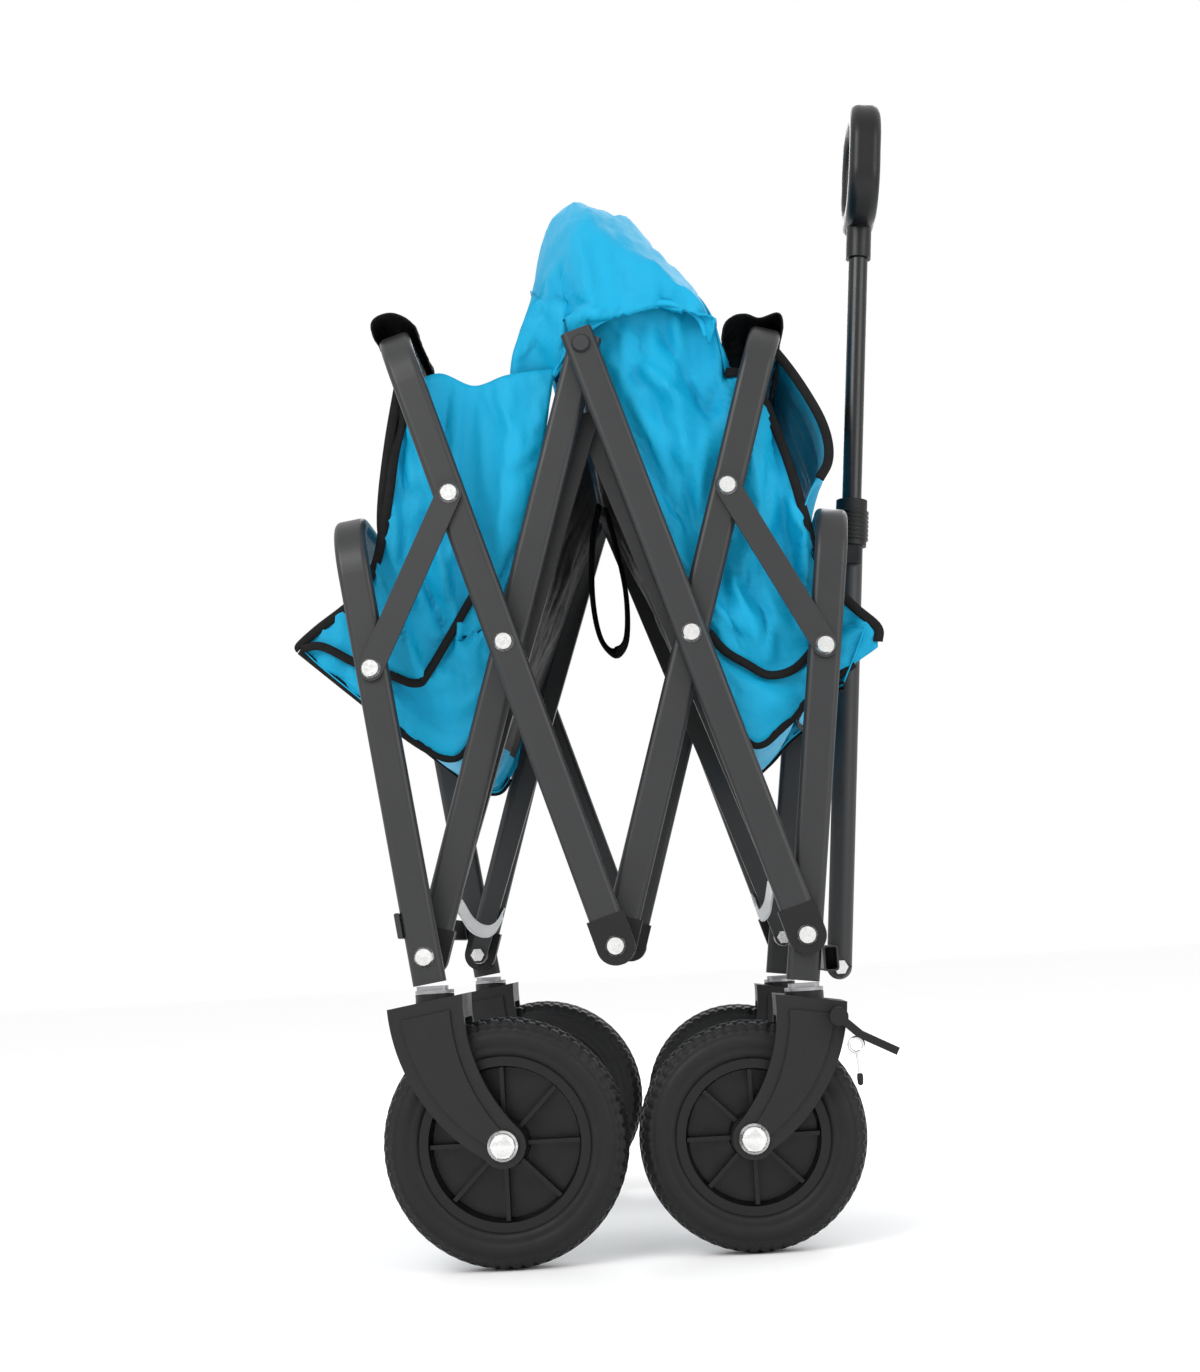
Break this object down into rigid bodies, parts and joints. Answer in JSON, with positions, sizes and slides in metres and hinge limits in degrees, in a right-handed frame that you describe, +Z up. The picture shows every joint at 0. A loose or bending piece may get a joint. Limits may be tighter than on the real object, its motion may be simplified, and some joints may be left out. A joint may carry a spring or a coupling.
{
  "type": "folding utility wagon",
  "caption": "Folding four-wheeled utility wagon with scissor frame, fabric basket, swivelling front casters, foot brakes and a telescoping pull handle, standing nearly folded.",
  "frame": {"origin": "On the floor, midway between the rear and front end frames and midway between the near and far sides, as the wagon stands nearly folded.", "axes": "+X towards the pull handle, +Y across the wagon from the near side to the far side, +Z up."},
  "size_m": [0.5285, 0.507, 0.9907],
  "materials": {
    "frame_coat": "satin charcoal powder coat",
    "zinc": "bright zinc plate",
    "sleeve_steel": "plain steel",
    "black_plastic": "moulded black nylon",
    "fork_plastic": "moulded charcoal nylon, fine grain",
    "grip_plastic": "semi-gloss moulded grip",
    "handle_tube": "gloss black enamel",
    "cloth": "woven polyester, turquoise",
    "webbing": "woven black webbing",
    "tyre": "hard black tread",
    "rim_plastic": "moulded black rim"
  },
  "bodies": {
    "rear_frame": {"rear_post_frame": "frame_coat", "rear_crossbar": "frame_coat", "rear_stems": "sleeve_steel", "rear_near_fork": "fork_plastic", "rear_far_fork": "fork_plastic", "rear_axles": "zinc", "rear_sleeves": "sleeve_steel", "rear_post_pins": "zinc", "rear_end_cloth": "cloth"},
    "rear_near_wheel": {"rear_near_wheel_tyre": "tyre", "rear_near_wheel_rim": "rim_plastic"},
    "rear_far_wheel": {"rear_far_wheel_tyre": "tyre", "rear_far_wheel_rim": "rim_plastic"},
    "rear_scissor": {"rear_scissor_bars": "frame_coat", "rear_bar_caps": "black_plastic"},
    "rear_bow": {"rear_bow_frame": "frame_coat", "rear_bow_caps": "black_plastic", "rear_bow_pins": "zinc", "rear_side_cloths": "cloth"},
    "front_scissor": {"front_scissor_bars": "frame_coat", "front_bar_caps": "black_plastic", "front_bar_pins": "zinc", "top_rod": "frame_coat", "hood_cloth": "cloth"},
    "front_bow": {"front_bow_frame": "frame_coat", "front_bow_caps": "black_plastic", "front_side_cloths": "cloth"},
    "front_frame": {"front_post_frame": "frame_coat", "front_crossbar": "frame_coat", "front_stems": "sleeve_steel", "front_link_pins": "zinc", "handle_bracket": "frame_coat", "handle_hinge_bolt": "zinc", "handle_clip": "black_plastic", "front_end_cloth": "cloth"},
    "rear_link_pair": {"rear_links": "frame_coat", "rear_link_studs": "zinc"},
    "front_link_pair": {"front_links": "frame_coat", "front_link_studs": "zinc"},
    "rear_floor": {"rear_floor_bars": "frame_coat", "floor_rod": "frame_coat", "pull_strap": "webbing", "floor_cloth": "cloth"},
    "front_floor": {"front_floor_bars": "frame_coat"},
    "handle_base": {"handle_sleeve": "frame_coat", "handle_collar": "black_plastic"},
    "handle_slide": {"handle_rod": "handle_tube", "handle_grip": "grip_plastic"},
    "front_near_caster": {"front_near_fork": "fork_plastic", "front_near_axle": "zinc", "front_near_sleeve": "sleeve_steel"},
    "front_near_wheel": {"front_near_wheel_tyre": "tyre", "front_near_wheel_rim": "rim_plastic"},
    "near_brake": {"near_brake_pedal": "black_plastic"},
    "front_far_caster": {"front_far_fork": "fork_plastic", "front_far_axle": "zinc", "front_far_sleeve": "sleeve_steel"},
    "front_far_wheel": {"front_far_wheel_tyre": "tyre", "front_far_wheel_rim": "rim_plastic"},
    "far_brake": {"far_brake_pedal": "black_plastic"}
  },
  "joints": [
    {"name": "fold", "type": "hinge", "parent": "rear_frame", "child": "rear_scissor", "pos_m": [-0.14794, 0, 0.237], "axis": [0, 1, 0], "range_deg": [0, 46], "deforming": ["rear_end_cloth", "rear_side_cloths", "hood_cloth", "front_side_cloths", "front_end_cloth", "floor_cloth", "pull_strap"]},
    {"name": "rear_cross_pivot", "type": "hinge", "parent": "rear_scissor", "child": "rear_bow", "pos_m": [-0.07397, 0, 0.47895], "axis": [0, 1, 0], "range_deg": [-92, 0]},
    {"name": "top_pivot", "type": "hinge", "parent": "rear_scissor", "child": "front_scissor", "pos_m": [0, 0, 0.72089], "axis": [0, 1, 0], "range_deg": [-92, 0]},
    {"name": "front_cross_pivot", "type": "hinge", "parent": "front_scissor", "child": "front_bow", "pos_m": [0.07397, 0, 0.47895], "axis": [0, 1, 0], "range_deg": [0, 92]},
    {"name": "front_post_pivot", "type": "hinge", "parent": "front_scissor", "child": "front_frame", "pos_m": [0.14794, 0, 0.237], "axis": [0, 1, 0], "range_deg": [0, 46]},
    {"name": "rear_link_pivot", "type": "hinge", "parent": "rear_frame", "child": "rear_link_pair", "pos_m": [-0.17941, 0, 0.46383], "axis": [0, 1, 0], "range_deg": [0, 84.12]},
    {"name": "front_link_pivot", "type": "hinge", "parent": "front_frame", "child": "front_link_pair", "pos_m": [0.17941, 0, 0.46383], "axis": [0, 1, 0], "range_deg": [-83.68, 0]},
    {"name": "rear_floor_pivot", "type": "hinge", "parent": "rear_frame", "child": "rear_floor", "pos_m": [-0.14794, 0, 0.237], "axis": [0, 1, 0], "range_deg": [0, 64.4]},
    {"name": "front_floor_pivot", "type": "hinge", "parent": "front_frame", "child": "front_floor", "pos_m": [0.14794, 0, 0.237], "axis": [0, 1, 0], "range_deg": [-64.4, 0]},
    {"name": "rear_near_wheel_spin", "type": "hinge", "parent": "rear_frame", "child": "rear_near_wheel", "pos_m": [-0.092, -0.215, 0.094], "axis": [0, 1, 0], "continuous": true},
    {"name": "near_caster_swivel", "type": "hinge", "parent": "front_frame", "child": "front_near_caster", "pos_m": [0.143, -0.197, 0.2], "axis": [0, 0, 1], "continuous": true},
    {"name": "front_near_wheel_spin", "type": "hinge", "parent": "front_near_caster", "child": "front_near_wheel", "pos_m": [0.096, -0.197, 0.0875], "axis": [0, 1, 0], "continuous": true},
    {"name": "near_brake_press", "type": "hinge", "parent": "front_near_caster", "child": "near_brake", "pos_m": [0.165, -0.239, 0.175], "axis": [0, 1, 0], "range_deg": [0, 16]},
    {"name": "rear_far_wheel_spin", "type": "hinge", "parent": "rear_frame", "child": "rear_far_wheel", "pos_m": [-0.092, 0.215, 0.094], "axis": [0, 1, 0], "continuous": true},
    {"name": "far_caster_swivel", "type": "hinge", "parent": "front_frame", "child": "front_far_caster", "pos_m": [0.143, 0.197, 0.2], "axis": [0, 0, 1], "continuous": true},
    {"name": "front_far_wheel_spin", "type": "hinge", "parent": "front_far_caster", "child": "front_far_wheel", "pos_m": [0.096, 0.197, 0.0875], "axis": [0, 1, 0], "continuous": true},
    {"name": "far_brake_press", "type": "hinge", "parent": "front_far_caster", "child": "far_brake", "pos_m": [0.165, 0.239, 0.175], "axis": [0, 1, 0], "range_deg": [0, 16]},
    {"name": "handle_tilt", "type": "hinge", "parent": "front_frame", "child": "handle_base", "pos_m": [0.187, 0, 0.208], "axis": [0, 1, 0], "range_deg": [0, 80]},
    {"name": "handle_draw", "type": "slide", "parent": "handle_base", "child": "handle_slide", "axis": [0.1011, 0, 0.9949], "range_m": [-0.224, 0]}
  ],
  "couplings": [
    {"joint": "rear_cross_pivot", "follows": "fold", "ratio": -2},
    {"joint": "top_pivot", "follows": "fold", "ratio": -2},
    {"joint": "front_cross_pivot", "follows": "fold", "ratio": 2},
    {"joint": "front_post_pivot", "follows": "fold", "ratio": 1},
    {"joint": "rear_link_pivot", "follows": "fold", "ratio": 1.8288},
    {"joint": "front_link_pivot", "follows": "fold", "ratio": -1.8192},
    {"joint": "rear_floor_pivot", "follows": "fold", "ratio": 1.4},
    {"joint": "front_floor_pivot", "follows": "fold", "ratio": -1.4}
  ]
}
